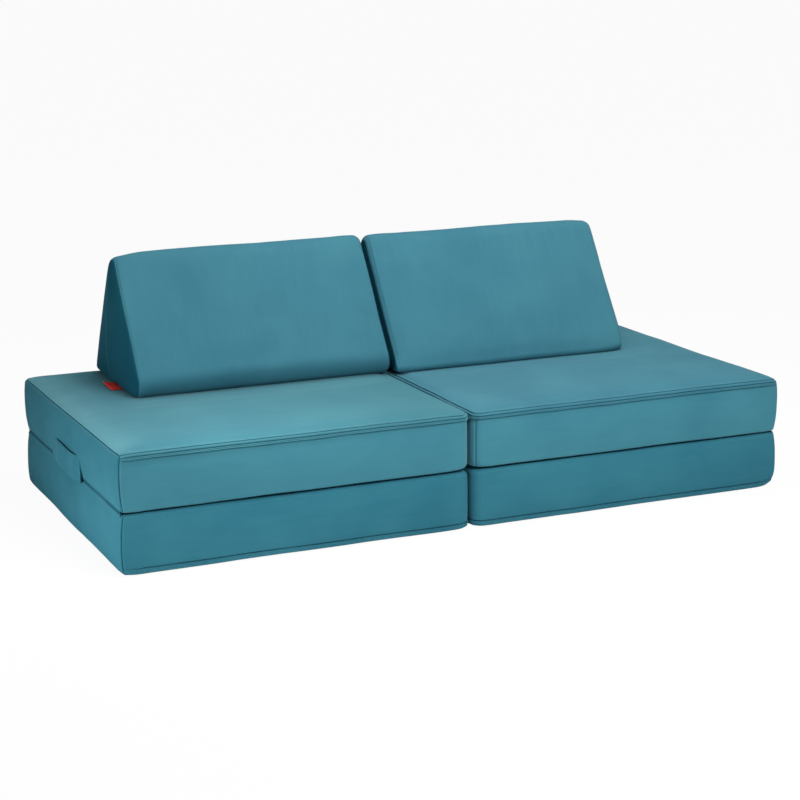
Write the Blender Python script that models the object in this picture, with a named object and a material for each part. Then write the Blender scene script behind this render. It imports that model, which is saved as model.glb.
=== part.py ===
"""Folding foam play sofa in zipped microvelvet covers.

Two mats stand side by side. Each mat is two foam slabs, joined by a strip of fabric along
its outer end and folded shut, so that the upper slab is the seat. A wedge cushion lies at
the back of each seat as its backrest. Each slab and wedge is a zipped cover over foam.

Metres, +Z up, X along the length, the front towards -Y. The origin is on the floor under
the middle of the sofa. The two mats are the same mat, and the right one is turned round.
"""

import math

import bmesh
import bpy
from mathutils import Vector

# Mats
mat_width = 0.860
mat_depth = 0.860
slab_height = 0.143
centre_gap = 0.008
fold_gap = 0.0006
corner_radius = 0.024
fold_edge_radius = 0.009
outer_edge_radius = 0.007
seat_crown = 0.004
crown_run = 0.150
side_draw = 0.004
corner_growth_share = 0.3
side_shares = (0.25, 0.5, 0.75)
draw_height_shares = (0.33, 0.67)
crown_run_shares = (0.4, 1.0)

# Wedge cushions
wedge_length = 0.680
wedge_base = 0.418
wedge_height = 0.3635
wedge_apex_back = 0.230
wedge_front_edge_radius = 0.022
wedge_back_edge_radius = 0.014
wedge_top_edge_radius = 0.030
wedge_end_edge_radius = 0.018
wedge_end_crown = 0.005
wedge_face_crown = 0.005
wedge_edge_draw = 0.0015
wedge_back_inset = 0.0018
wedge_pair_shift = 0.0022
wedge_gap = 0.005
wedge_back_shares = (0.2, 0.4, 0.6, 0.8)
wedge_middle_shares = (-0.5, 0, 0.5)
end_crown_rings = ((0.028, 0.65), (0.056, 1.0))

# Covers and foam
cover_wall = 0.0035
cavity_edge = 0.006
foam_clearance = 0.0004
foam_edge_radius = 0.018
wedge_foam_edge = 0.013
touch_gap = 0.0003

# Zips, which run along the outer face's edge on three sides of a slab
flap_width = 0.011
flap_thickness = 0.0012
flap_below_rim = 0.0035
zip_slot_width = 0.008
zip_end_margin = 0.045
zip_tape_thickness = 0.0006
zip_coil_width = 0.004
zip_coil_depth = 0.0012
slider_length = 0.014
slider_width = 0.0068
slider_plate = 0.0012
slider_clearance = 0.0003
slider_nose_length = 0.005
slider_nose_share = 0.6
slider_end_margin = 0.002
wedge_zip_end_margin = 0.040
wedge_zip_rise = 0.040

# Fold hinge and carry handle on the outer end
hinge_offset = 0.008
hinge_strip_width = 0.018
hinge_strip_thickness = 0.0009
handle_length = 0.255
handle_below_hinge = 0.006
handle_above_hinge = 0.057
handle_thickness = 0.0015
handle_end_patch = 0.030
handle_rise_length = 0.032
handle_back_offset = 0.012

# Side tag under the left wedge's outer end
tag_reach = 0.030
tag_tuck = 0.005
tag_width = 0.080
tag_thickness = 0.0012
tag_back = 0.150

# Overruns of cutters, and counts of facets
cut_overrun = 0.002
corner_steps = 5
edge_steps = 3
foam_bevel_steps = 2
handle_steps = 5

fold_axis_x = centre_gap / 2 + mat_width + hinge_offset
seat_top = 2 * slab_height
wedge_front_face = mat_depth / 2 - wedge_back_inset - wedge_base
left_wedge_middle = wedge_pair_shift - (wedge_gap + wedge_length) / 2
right_wedge_middle = wedge_pair_shift + (wedge_gap + wedge_length) / 2
wedge_zip_length = wedge_length - 2 * wedge_zip_end_margin


# Tools

def clear_scene():
    for old in list(bpy.data.objects):
        bpy.data.objects.remove(old, do_unlink=True)


def linear(channel):
    share = channel / 255
    return share / 12.92 if share <= 0.04045 else ((share + 0.055) / 1.055) ** 2.4


def finish(name, rgb, roughness, metallic=0.0):
    material = bpy.data.materials.new(name)
    material.use_nodes = True
    shader = material.node_tree.nodes["Principled BSDF"]
    colour = [linear(channel) for channel in rgb]
    shader.inputs["Base Color"].default_value = (*colour, 1.0)
    shader.inputs["Roughness"].default_value = roughness
    shader.inputs["Metallic"].default_value = metallic
    material.diffuse_color = (*colour, 1.0)
    return material


def guide(name, parent=None, place=(0, 0, 0), turn=0.0):
    """An empty that pieces hang on."""
    empty = bpy.data.objects.new(name, None)
    bpy.context.scene.collection.objects.link(empty)
    empty.parent = parent
    empty.location = place
    empty.rotation_euler = (0, 0, turn)
    return empty


def loft(name, rings, material=None, parent=None, place=(0, 0, 0)):
    """A closed solid through rings of points, with a flat face on the first and the last."""
    shape = bmesh.new()
    loops = [[shape.verts.new(point) for point in ring] for ring in rings]
    for near, far in zip(loops, loops[1:]):
        for i in range(len(near)):
            j = (i + 1) % len(near)
            shape.faces.new((near[i], near[j], far[j], far[i]))
    shape.faces.new(loops[0])
    shape.faces.new(loops[-1])
    bmesh.ops.recalc_face_normals(shape, faces=shape.faces)
    mesh = bpy.data.meshes.new(name)
    shape.to_mesh(mesh)
    shape.free()
    mesh.shade_smooth()
    mesh.set_sharp_from_angle(angle=math.radians(40))
    solid = bpy.data.objects.new(name, mesh)
    bpy.context.scene.collection.objects.link(solid)
    solid.parent = parent
    solid.location = place
    if material:
        mesh.materials.append(material)
    return solid


def cut(solid, cutter):
    """Takes the cutter out of the solid, and hides the cutter."""
    cutter.hide_render = True
    cutter.display_type = "WIRE"
    boolean = solid.modifiers.new(cutter.name, "BOOLEAN")
    boolean.operation = "DIFFERENCE"
    boolean.solver = "EXACT"
    boolean.object = cutter


def sweep(section, stations):
    """Rings of a section of (depth, height) points, set at each (point, inward, up) station."""
    return [
        [point + inward * depth + up * height for depth, height in section]
        for point, inward, up in stations
    ]


def bar_section(depth, height):
    """A rectangular section from (low, high) depths and heights."""
    return [
        (depth[0], height[0]),
        (depth[1], height[0]),
        (depth[1], height[1]),
        (depth[0], height[1]),
    ]


def quarter_round(radius):
    """(rise, inset) pairs round an edge, from the flat face to the upright side."""
    angles = [math.pi / 2 * step / edge_steps for step in range(edge_steps + 1)]
    return [(radius * (1 - math.cos(a)), radius * (1 - math.sin(a))) for a in angles]


def arch(share):
    """1 half way along a side, 0 at its ends."""
    return 4 * share * (1 - share)


def outline(corners, inset, radii, sides, corner_pushes, push, steps):
    """A convex outline drawn in by inset, with round corners.

    sides holds each side's (share, weight) points and corner_pushes each corner's weights at
    the start and end of its arc. A point moves out by push times its weight.
    """
    count = len(corners)
    along = [(corners[(k + 1) % count] - corners[k]).normalized() for k in range(count)]
    outward = [Vector((way.y, -way.x)) for way in along]
    arcs = []
    for k, corner in enumerate(corners):
        before, after = outward[k - 1], outward[k]
        middle = corner - (before + after) * (inset + radii[k]) / (1 + before.dot(after))
        turn = before.angle(after)
        arc = []
        for step in range(steps + 1):
            share = step / steps
            way = (before * math.sin((1 - share) * turn) + after * math.sin(share * turn))
            way = way / math.sin(turn)
            weight = corner_pushes[k][0] * (1 - share) + corner_pushes[k][1] * share
            arc.append((middle + way * radii[k], way, weight))
        arcs.append(arc)
    points = []
    for k, arc in enumerate(arcs):
        points += [place + way * push * weight for place, way, weight in arc]
        start, end = arc[-1][0], arcs[(k + 1) % count][0][0]
        for share, weight in sides[k]:
            points.append(start.lerp(end, share) + outward[k] * push * weight)
    return points


# A slab: its outline is drawn in plan from the hinge line, and it is lofted outwards from there

def slab_corners():
    near, far, half = hinge_offset, hinge_offset + mat_width, mat_depth / 2
    return [Vector((near, -half)), Vector((far, -half)), Vector((far, half)), Vector((near, half))]


def slab_ring(side, height, inset, draw, radius):
    """One ring of a slab's skin. Three sides draw in, and the hinge end stays straight."""
    drawn = [(share, -arch(share)) for share in side_shares]
    plan = outline(
        slab_corners(), inset, [radius] * 4, [drawn, drawn, drawn, []], [(0, 0)] * 4, draw, corner_steps
    )
    return [Vector((point.x, point.y, side * height)) for point in plan]


def flap_low(rim):
    return rim - flap_below_rim - flap_width


def slab_skin(side, crown):
    """Rings from the fold face, over the drawn-in sides, to the outer face and its crown."""
    rim = slab_height - crown
    fold_face = fold_gap / 2
    upright_low = fold_face + fold_edge_radius
    levels = [(fold_face + rise, inset, 0) for rise, inset in quarter_round(fold_edge_radius)]
    for share in draw_height_shares:
        levels.append((upright_low + (flap_low(rim) - upright_low) * share, 0, side_draw * arch(share)))
    levels.append((flap_low(rim), 0, 0))
    levels += [(rim - rise, inset, 0) for rise, inset in reversed(quarter_round(outer_edge_radius))]
    if crown:
        for share in crown_run_shares:
            inset = outer_edge_radius + (crown_run - outer_edge_radius) * share
            levels.append((rim + crown * (1 - (1 - share) ** 2), inset, 0))
    return [
        slab_ring(side, height, inset, draw, corner_radius + corner_growth_share * inset)
        for height, inset, draw in levels
    ]


def slab_cavity(side, crown):
    """The hollow inside a slab's cover, one wall in from its skin."""
    low = fold_gap / 2 + cover_wall
    rim = slab_height - crown
    high = rim - cover_wall
    levels = [
        (low, cover_wall + cavity_edge, 0),
        (low + cavity_edge, cover_wall, 0),
        ((low + flap_low(rim)) / 2, cover_wall, side_draw),
        (flap_low(rim), cover_wall, 0),
        (high - cavity_edge, cover_wall, 0),
        (high, cover_wall + cavity_edge, 0),
    ]
    return [
        slab_ring(side, height, inset, draw, corner_radius - cover_wall)
        for height, inset, draw in levels
    ]


def zip_stations(side, margin):
    """Along the front, the free end and the back of a slab, from one hinge corner to the other."""
    plan = slab_corners()
    up = Vector((0, 0, side))
    stations = [(Vector((plan[0].x + margin, plan[0].y, 0)), Vector((0, 1, 0)), up)]
    for corner, start in ((plan[1], -math.pi / 2), (plan[2], 0.0)):
        toward = Vector((-1, -1 if corner.y > 0 else 1))
        middle = corner + toward * corner_radius
        for step in range(corner_steps + 1):
            angle = start + math.pi / 2 * step / corner_steps
            way = Vector((math.cos(angle), math.sin(angle), 0))
            stations.append((Vector((middle.x, middle.y, 0)) + way * corner_radius, -way, up))
    stations.append((Vector((plan[3].x + margin, plan[3].y, 0)), Vector((0, -1, 0)), up))
    return stations


def zip_section(middle):
    """A zip seen end on: flat tape at the inside of the wall, with the coil standing out of it."""
    tape_in = cover_wall
    tape_out = cover_wall - zip_tape_thickness
    coil_out = tape_out - zip_coil_depth
    tape_half = zip_slot_width / 2 - touch_gap
    coil_half = zip_coil_width / 2
    return [
        (tape_in, middle - tape_half),
        (tape_in, middle + tape_half),
        (tape_out, middle + tape_half),
        (tape_out, middle + coil_half),
        (coil_out, middle + coil_half),
        (coil_out, middle - coil_half),
        (tape_out, middle - coil_half),
        (tape_out, middle - tape_half),
    ]


def slider_section(width_share):
    """A slider seen end on: a plate over the coil, with a flange down each side of it."""
    coil_out = cover_wall - zip_tape_thickness - zip_coil_depth
    plate_in = coil_out - slider_clearance
    plate_out = plate_in - slider_plate
    flange_in = cover_wall - zip_tape_thickness - slider_clearance
    inner = zip_coil_width / 2 + slider_clearance
    outer = inner + (slider_width / 2 - inner) * width_share
    return [
        (plate_out, -outer),
        (flange_in, -outer),
        (flange_in, -inner),
        (plate_in, -inner),
        (plate_in, inner),
        (flange_in, inner),
        (flange_in, outer),
        (plate_out, outer),
    ]


def slider(name, material, parent, place, along, inward, up):
    """A zip slider with a narrower nose. It has no pull tab, as on covers made for children."""
    lengths = (
        (-slider_length / 2, slider_nose_share),
        (-slider_length / 2 + slider_nose_length, 1.0),
        (slider_length / 2, 1.0),
    )
    rings = []
    for offset, width_share in lengths:
        rings += sweep(slider_section(width_share), [(along * offset, inward, up)])
    return loft(name, rings, material, parent, place)


def foam_block(name, size, middle, material, parent, place):
    """A cut foam block, its edges rounded by the tight cover."""
    shape = bmesh.new()
    bmesh.ops.create_cube(shape, size=1)
    bmesh.ops.scale(shape, vec=size, verts=shape.verts)
    bmesh.ops.translate(shape, vec=middle, verts=shape.verts)
    bmesh.ops.bevel(
        shape,
        geom=shape.edges[:],
        offset=foam_edge_radius,
        segments=foam_bevel_steps,
        profile=0.5,
        affect="EDGES",
    )
    mesh = bpy.data.meshes.new(name)
    shape.to_mesh(mesh)
    shape.free()
    mesh.materials.append(material)
    block = bpy.data.objects.new(name, mesh)
    bpy.context.scene.collection.objects.link(block)
    block.parent = parent
    block.location = place
    return block


def slab(name, side, crown, parent, place, finishes):
    """One slab of a mat: cover, foam, zip, slider and the flap that hides the zip."""
    rim = slab_height - crown
    zip_middle = rim - flap_below_rim - flap_width / 2
    slot = (zip_middle - zip_slot_width / 2, zip_middle + zip_slot_width / 2)
    cover = loft(name + "_cover", slab_skin(side, crown), finishes["velvet"], parent, place)
    cavity = loft(name + "_cavity_cutter", slab_cavity(side, crown), parent=parent, place=place)
    slot_section = bar_section((-cut_overrun, cover_wall + cut_overrun), slot)
    slot_rings = sweep(slot_section, zip_stations(side, zip_end_margin))
    opening = loft(name + "_zip_slot_cutter", slot_rings, parent=parent, place=place)
    cut(cover, cavity)
    cut(cover, opening)

    foam_low = fold_gap / 2 + cover_wall + foam_clearance
    foam_high = rim - cover_wall - foam_clearance
    end_inset = cover_wall + foam_clearance
    side_inset = end_inset + side_draw
    size = Vector((mat_width - end_inset - side_inset, mat_depth - 2 * side_inset, foam_high - foam_low))
    middle = Vector((hinge_offset + end_inset + size.x / 2, 0, side * (foam_low + foam_high) / 2))
    foam_block(name + "_foam", size, middle, finishes["foam"], parent, place)

    zip_rings = sweep(zip_section(zip_middle), zip_stations(side, zip_end_margin + touch_gap))
    loft(name + "_zip", zip_rings, finishes["zip"], parent, place)

    flap_section = bar_section(
        (-touch_gap - flap_thickness, -touch_gap), (flap_low(rim), flap_low(rim) + flap_width)
    )
    flap_rings = sweep(flap_section, zip_stations(side, corner_radius))
    loft(name + "_zip_flap", flap_rings, finishes["velvet"], parent, place)

    slider_start = hinge_offset + zip_end_margin + slider_end_margin + slider_length / 2
    seat_of_slider = Vector(place) + Vector((slider_start, mat_depth / 2, side * zip_middle))
    slider(
        name + "_zip_slider",
        finishes["slider"],
        parent,
        seat_of_slider,
        Vector((1, 0, 0)),
        Vector((0, -1, 0)),
        Vector((0, 0, 1)),
    )


# What joins the two slabs of a mat

def fold_hinge(name, parent, place, material):
    """A strip of cover fabric sewn to both end faces, across the fold."""
    half = hinge_strip_width / 2
    section = bar_section((-touch_gap - hinge_strip_thickness, -touch_gap), (-half, half))
    reach = mat_depth / 2 - corner_radius
    face = [Vector((hinge_offset, y, 0)) for y in (-reach, reach)]
    stations = [(point, Vector((1, 0, 0)), Vector((0, 0, 1))) for point in face]
    loft(name, sweep(section, stations), material, parent, place)


def carry_handle(name, parent, material):
    """A flat strap sewn down at both ends, standing off the end face between them."""
    low_stand = touch_gap + hinge_strip_thickness + touch_gap
    high_stand = hinge_offset - touch_gap - handle_thickness
    half = handle_length / 2
    rise_start = half - handle_end_patch
    stands = [(half, 0.0)]
    for step in range(handle_steps + 1):
        share = step / handle_steps
        stands.append((rise_start - handle_rise_length * share, (1 - math.cos(math.pi * share)) / 2))
    halves = [(-y, share) for y, share in stands] + [(y, share) for y, share in reversed(stands)]
    stations = []
    for y, share in halves:
        stand = low_stand + (high_stand - low_stand) * share
        point = Vector((hinge_offset - stand, handle_back_offset + y, 0))
        stations.append((point, Vector((1, 0, 0)), Vector((0, 0, 1))))
    section = bar_section((-handle_thickness, 0), (-handle_below_hinge, handle_above_hinge))
    loft(name, sweep(section, stations), material, parent)


def mat(name, middle_side, finishes):
    """A folded mat with its hinge line outermost. middle_side is -1 for left, 1 for right."""
    turn = math.pi if middle_side > 0 else 0.0
    unit = guide(name + "_mat", place=(middle_side * fold_axis_x, 0, 0), turn=turn)
    fold_axis = guide(name + "_fold_axis", unit, (0, 0, slab_height))
    slab(name + "_base", -1, 0.0, unit, (0, 0, slab_height), finishes)
    slab(name + "_seat", 1, seat_crown, fold_axis, (0, 0, 0), finishes)
    fold_hinge(name + "_fold_hinge", unit, (0, 0, slab_height), finishes["velvet"])
    carry_handle(name + "_carry_handle", fold_axis, finishes["velvet"])


# A wedge: its outline is drawn from the side, and it is lofted along X

def wedge_corners():
    return [
        Vector((0, 0)),
        Vector((wedge_base, 0)),
        Vector((wedge_apex_back, wedge_height)),
    ]


def wedge_radii(change):
    radii = (wedge_front_edge_radius, wedge_back_edge_radius, wedge_top_edge_radius)
    return [radius + change for radius in radii]


def wedge_ring(x, inset, radii, crown):
    """One ring: flat below, crowned front and back, with the long edges drawn in."""
    draw_share = wedge_edge_draw / wedge_face_crown
    flat = wedge_back_shares[0]
    back = [(share, arch((share - flat) / (1 - flat))) for share in wedge_back_shares]
    front = [(share, arch(share)) for share in side_shares]
    corner_pushes = [(-draw_share, 0), (0, 0), (0, -draw_share)]
    profile = outline(
        wedge_corners(), inset, radii, [[], back, front], corner_pushes, crown, corner_steps
    )
    return [Vector((x, point.x, point.y)) for point in profile]


def wedge_rings(inset, edge, radius_change, half, end_rings):
    """Rings from one end of a wedge to the other. edge is its end edges' (rise, inset) pairs."""
    last_rise = edge[-1][0]
    levels = [(half - rise, inset + edge_inset) for rise, edge_inset in edge]
    levels = [(half + rise, inset + end_inset) for rise, end_inset in end_rings] + levels
    far = [(-x, level) for x, level in levels]
    middle = [((half - last_rise) * share, inset) for share in wedge_middle_shares]
    rings = []
    for x, level in far + middle + levels[::-1]:
        crown = wedge_face_crown * max(0, 1 - (x / (half - last_rise)) ** 2)
        growth = corner_growth_share * (level - inset)
        rings.append(wedge_ring(x, level, wedge_radii(radius_change + growth), crown))
    return rings


def wedge_skin():
    rim = wedge_length / 2 - wedge_end_crown
    end_rings = [(wedge_end_crown * rise_share, inset) for inset, rise_share in reversed(end_crown_rings)]
    return wedge_rings(0, quarter_round(wedge_end_edge_radius), 0, rim, end_rings)


def wedge_cavity():
    rim = wedge_length / 2 - wedge_end_crown - cover_wall
    edge = quarter_round(wedge_end_edge_radius - cover_wall)
    return wedge_rings(cover_wall, edge, -cover_wall, rim, [])


def wedge_foam():
    """A plain prism of foam, lying on the cover's underside."""
    half = wedge_length / 2 - wedge_end_crown - cover_wall - foam_clearance
    inset = cover_wall + wedge_edge_draw + foam_clearance
    rings = []
    near_end = half - wedge_foam_edge
    levels = ((-half, wedge_foam_edge), (-near_end, 0), (near_end, 0), (half, wedge_foam_edge))
    for x, more in levels:
        profile = outline(
            wedge_corners(), inset + more, wedge_radii(0), [[], [], []], [(0, 0)] * 3, 0, corner_steps
        )
        rings.append([Vector((x, point.x, point.y - wedge_edge_draw)) for point in profile])
    return rings


def wedge_zip_stations(half):
    """Along X on the back face, just above the seat."""
    _, back, top = wedge_corners()
    up = (top - back).normalized()
    inward = Vector((-up.y, up.x))
    place = back + up * wedge_zip_rise
    return [
        (Vector((x, place.x, place.y)), Vector((0, inward.x, inward.y)), Vector((0, up.x, up.y)))
        for x in (-half, half)
    ]


def wedge(name, middle, finishes):
    """A wedge cushion: cover, foam, zip, slider and flap."""
    lift = guide(name + "_lift_axis", place=(middle, wedge_front_face, seat_top + touch_gap))
    cover = loft(name + "_cover", wedge_skin(), finishes["velvet"], lift)
    cavity = loft(name + "_cavity_cutter", wedge_cavity(), parent=lift)
    slot_section = bar_section(
        (-cut_overrun, cover_wall + cut_overrun), (-zip_slot_width / 2, zip_slot_width / 2)
    )
    slot_rings = sweep(slot_section, wedge_zip_stations(wedge_zip_length / 2))
    opening = loft(name + "_zip_slot_cutter", slot_rings, parent=lift)
    cut(cover, cavity)
    cut(cover, opening)
    loft(name + "_foam", wedge_foam(), finishes["foam"], lift)
    stations = wedge_zip_stations(wedge_zip_length / 2 - touch_gap)
    loft(name + "_zip", sweep(zip_section(0), stations), finishes["zip"], lift)
    flap_section = bar_section((-touch_gap - flap_thickness, -touch_gap), (-flap_width / 2, flap_width / 2))
    flap_rings = sweep(flap_section, wedge_zip_stations(wedge_zip_length / 2 + flap_width / 2))
    loft(name + "_zip_flap", flap_rings, finishes["velvet"], lift)
    start = wedge_zip_stations(wedge_zip_length / 2 - slider_end_margin - slider_length / 2)[0]
    slider(name + "_zip_slider", finishes["slider"], lift, start[0], Vector((1, 0, 0)), start[1], start[2])
    return lift


def side_tag(name, lift, material):
    """A folded ribbon, caught under the wedge's outer end edge and lying on the seat."""
    end = -wedge_length / 2 + wedge_end_crown
    section = bar_section((0, tag_width), (touch_gap, touch_gap + tag_thickness))
    stations = [
        (Vector((x, tag_back, 0)), Vector((0, 1, 0)), Vector((0, 0, 1)))
        for x in (end - tag_reach, end + tag_tuck)
    ]
    loft(name, sweep(section, stations), material, lift)


# The sofa

def build():
    clear_scene()
    finishes = {
        "velvet": finish("teal_microvelvet", (74, 138, 154), 0.85),
        "foam": finish("upholstery_foam", (226, 220, 196), 0.95),
        "zip": finish("nylon_coil_zip", (52, 104, 120), 0.6),
        "slider": finish("painted_zinc_slider", (58, 108, 122), 0.35),
        "tag": finish("red_woven_ribbon", (205, 50, 32), 0.7),
    }
    mat("left", -1, finishes)
    mat("right", 1, finishes)
    left_lift = wedge("left_wedge", left_wedge_middle, finishes)
    wedge("right_wedge", right_wedge_middle, finishes)
    side_tag("left_wedge_side_tag", left_lift, finishes["tag"])


build()
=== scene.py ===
"""The looks of the folding foam play sofa: velvet covers, seams, zip flaps, straps, tag and studio.

Two folded mats stand side by side with a wedge cushion on each. A cover is drawn as an exact
skin, a copy of it is blown up as cloth, and the skin takes that swelling. Flaps, zips and
stitches are drawn on the same skin, so that they lie on it. Metres, +Z up, the front towards -Y.
"""

import math

import bmesh
import bpy
import numpy as np
from mathutils import Matrix, Vector, noise
from mathutils.bvhtree import BVHTree
from mathutils.interpolate import poly_3d_calc


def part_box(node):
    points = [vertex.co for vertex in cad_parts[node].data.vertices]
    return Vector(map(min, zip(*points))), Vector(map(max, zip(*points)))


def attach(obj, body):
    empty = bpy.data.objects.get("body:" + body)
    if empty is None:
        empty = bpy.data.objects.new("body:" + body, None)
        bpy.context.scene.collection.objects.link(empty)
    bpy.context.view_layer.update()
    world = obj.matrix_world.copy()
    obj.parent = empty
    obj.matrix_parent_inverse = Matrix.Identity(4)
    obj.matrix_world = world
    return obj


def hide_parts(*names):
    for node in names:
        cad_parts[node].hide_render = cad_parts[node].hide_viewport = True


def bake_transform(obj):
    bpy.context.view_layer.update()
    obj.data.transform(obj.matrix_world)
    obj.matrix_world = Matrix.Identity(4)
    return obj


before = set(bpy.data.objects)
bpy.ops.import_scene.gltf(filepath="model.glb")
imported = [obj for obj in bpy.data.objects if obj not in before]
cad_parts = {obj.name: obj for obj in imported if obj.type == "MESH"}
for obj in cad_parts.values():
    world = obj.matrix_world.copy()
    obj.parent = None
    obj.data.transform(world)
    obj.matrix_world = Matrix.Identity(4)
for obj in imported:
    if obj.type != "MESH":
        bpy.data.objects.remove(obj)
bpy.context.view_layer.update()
noise.seed_set(1)  # unseeded, noise_vector would take its offsets from the clock

# Sizes of the solids, repeated from the frame

mat_width = 0.860
mat_depth = 0.860
centre_gap = 0.008
outer_end = centre_gap / 2 + mat_width
seat_top = 0.286
seat_rim = 0.282
fold_height = 0.143
seat_fold = 0.1433
base_fold = 0.1427
wedge_length = 0.680
wedge_base = 0.418
wedge_height = 0.3635
wedge_apex_back = 0.230
wedge_front_y = 0.0102
wedge_under_z = 0.2863
wedge_middles = {"left": -0.3403, "right": 0.3447}

# Slab cover: radii of its edges and corners, then how far its faces, edges and corners give way

hinge_corner_radius = 0.009
free_corner_radius = 0.024
rim_radius = 0.0075
rim_corner_radius = 0.0095
rim_hinge_radius = 0.0120
fold_radius = {"seat": 0.0062, "base": 0.0096}
fold_corner_radius = 0.0130
fold_hinge_radius = 0.0060
hinge_zone = 0.020
hinge_zone_edge = 0.004
corner_zone = 0.030
slab_arc_steps = 10
slab_side_steps = (96, 100, 96, 100)
rim_angles = (0, 15, 30, 38, 45, 52, 60, 75, 90)
fold_angles = (90, 68, 45, 22, 0)

seat_crown = 0.0040
seat_crown_most = 0.006
crown_run = 0.150
crown_depth = 0.030
side_draw = 0.0020
side_belly = 0.0032
free_end_draw = 0.0022
free_end_belly = 0.0024
side_reach = 0.070
end_reach = 0.060
hinge_pinch = 0.0040
hinge_belly = 0.0018
corner_ease = {"free": 0.0028, "hinge": 0.0030}
base_front_right_ease = {"left": 0.0030, "right": 0.0095}
corner_ease_reach = 0.024
fold_corner_share = 0.8
fold_opening = 0.0024
fold_opening_reach = 0.020
fold_opening_depth = 0.014
slab_ripples = ((0.210, 0.0016, 0), (0.070, 0.0005, 3))

# Seams: grooves in the skin, and the recess that the zip lies in

seam_angle = 45
seam_depth = {"seat": 0.0042, "base": 0.0026}
seam_spread = 0.0011
upright_seam_depth = 0.0036
upright_seam_spread = 0.0015
zip_recess_top = 0.0045
zip_recess_low = 0.0162
zip_recess_step = 0.0008
zip_recess_start = 0.044
zip_recess_depth = {"seat": 0.0033, "base": 0.0016}
zip_start = 0.050
zip_backing = 0.0002
zip_profile = (
    (0.0056, 0.0002), (0.0066, 0.0005), (0.0076, 0.0013), (0.0086, 0.0015), (0.0096, 0.0013),
    (0.0106, 0.0005), (0.0116, 0.0002),
)

# Zip flap and stitches. A share is a place across the flap, from the seam to its free edge

flap_low = 0.0142
flap_seam_turn = 6
flap_thickness = {"seat": 0.0014, "base": 0.0009}
flap_stand = 0.0003
flap_hinge_end = 0.0045
flap_taper = 0.016
flap_end_share = 0.25
flap_puff = {"seat": 0.0014, "base": 0.0009}
flap_puff_run = 0.12
flap_lift = {"seat": 0.0012, "base": 0.0002}
flap_wave = 0.0004
flap_wave_length = 0.023
topstitch_share = 0.46
edge_stitch_share = 0.84
flap_shares = np.array([0, 0.06, 0.18, 0.30, 0.39, topstitch_share, 0.53, 0.64, 0.76, edge_stitch_share,
                        0.92, 1.0])
stitch_pitch = 0.0046
stitch_length = 0.0036
stitch_radius = 0.00042
end_stitch_angle = 75

# Wedge cover: radii of the front, back and top edges, then how far its end corners dip and how wide

wedge_radii = {"left": (0.040, 0.014, 0.030), "right": (0.013, 0.014, 0.030)}
wedge_front_corner = {"left": (-0.012, -0.007), "right": (-0.001, -0.001)}
wedge_end_radius = 0.018
wedge_foot_share = 0.4
wedge_foot_height = 0.7
# the end panel's velvet, partly painted shade, starts this share of the end radius in from a wedge's end
wedge_end_seam = {"left": 0.32, "right": 0.06}
wedge_end_groove = 0.0014
wedge_end_angles = (0, 15, 30, 39, 45, 51, 60, 75, 90)
wedge_end_crown = 0.0050
wedge_end_run = 0.070
wedge_face_crown = 0.0050
wedge_face_depth = 0.060
wedge_top_ends = {
    "left": {-1: (0.0165, 0.058), 1: (0.0070, 0.034)},
    "right": {-1: (0.0070, 0.034), 1: (0.0120, 0.046)},
}
wedge_foot_ends = {
    "left": {-1: (0.0035, 0.026), 1: (0.0035, 0.026)},
    "right": {-1: (0.0035, 0.026), 1: (0.0085, 0.034)},
}
wedge_sideways = {"top": 0.22, "foot": 0.60}
wedge_edge_draw = 0.0020
wedge_edge_reach = 0.045
wedge_top_rise = 0.0020
wedge_ripples = ((0.190, 0.0018, 0), (0.060, 0.0006, 5))
wedge_side_steps = 56
wedge_arc_steps = 4
wedge_rows = 76
wedge_zip_rise = 0.040
wedge_zip_half = 0.3055
wedge_flap_half = 0.0055
welt_radius = 0.0013

# Cloth copy

cloth_mesh = 0.013
cloth_frames = 20
cloth_seam_run = 0.016
cloth_feel = {
    "quality": 5, "mass": 0.3, "tension_stiffness": 20, "compression_stiffness": 20,
    "bending_stiffness": 2, "use_pressure": True, "uniform_pressure_force": 4.0,
}
slab_swelling = 0.0040
wedge_swelling = 0.0050

# Hinge strip: height from the fold, and stand from the slabs' ends, with a groove at the fold

hinge_path = (
    (-0.0088, 0.0006), (-0.0083, 0.0012), (-0.0066, 0.0014), (-0.0046, 0.0012), (-0.0026, 0.0006),
    (-0.0010, -0.0012), (-0.0001, -0.0070), (0.0001, -0.0070), (0.0010, -0.0014), (0.0028, 0.0004),
    (0.0050, 0.0005),
)
hinge_groove_faces = (5, 7)
hinge_thickness = 0.0006
hinge_margin = 0.012
hinge_steps = 90

# Carry handle: flat at its sewn ends and bowed between. Flat length and rise of the front and back

handle_lowering = 0.0008
handle_thickness = 0.0030
handle_stand = 0.0027
handle_sunk = 0.0005
handle_bow = 0.0080
handle_curl = 0.0016
handle_wave = 0.0012
handle_rise = {"front": (0.010, 0.026), "back": (0.026, 0.060)}
handle_steps = 80
handle_corners = 20
handle_stitch_share = 0.86
handle_end_shares = (0.97, 0.82)

# Side tag

tag_steps = 36
tag_skew = 0.0015
tag_rest = 0.0006
tag_lift = 0.0048
tag_thickness = 0.0009
tag_opening = 0.0007


# Colour and materials

def linear(hex_colour):
    """An sRGB hex colour as the linear numbers that a shader takes."""
    channels = [int(hex_colour[i : i + 2], 16) / 255 for i in (1, 3, 5)]
    parts = [c / 12.92 if c <= 0.04045 else ((c + 0.055) / 1.055) ** 2.4 for c in channels]
    return (*parts, 1.0)


def feed(tree, node, inputs):
    """Fills a node's inputs, each with a number, an sRGB hex colour or another node's output."""
    for key, value in inputs.items():
        if isinstance(value, bpy.types.NodeSocket):
            tree.links.new(value, node.inputs[key])
        else:
            node.inputs[key].default_value = linear(value) if isinstance(value, str) else value


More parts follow.
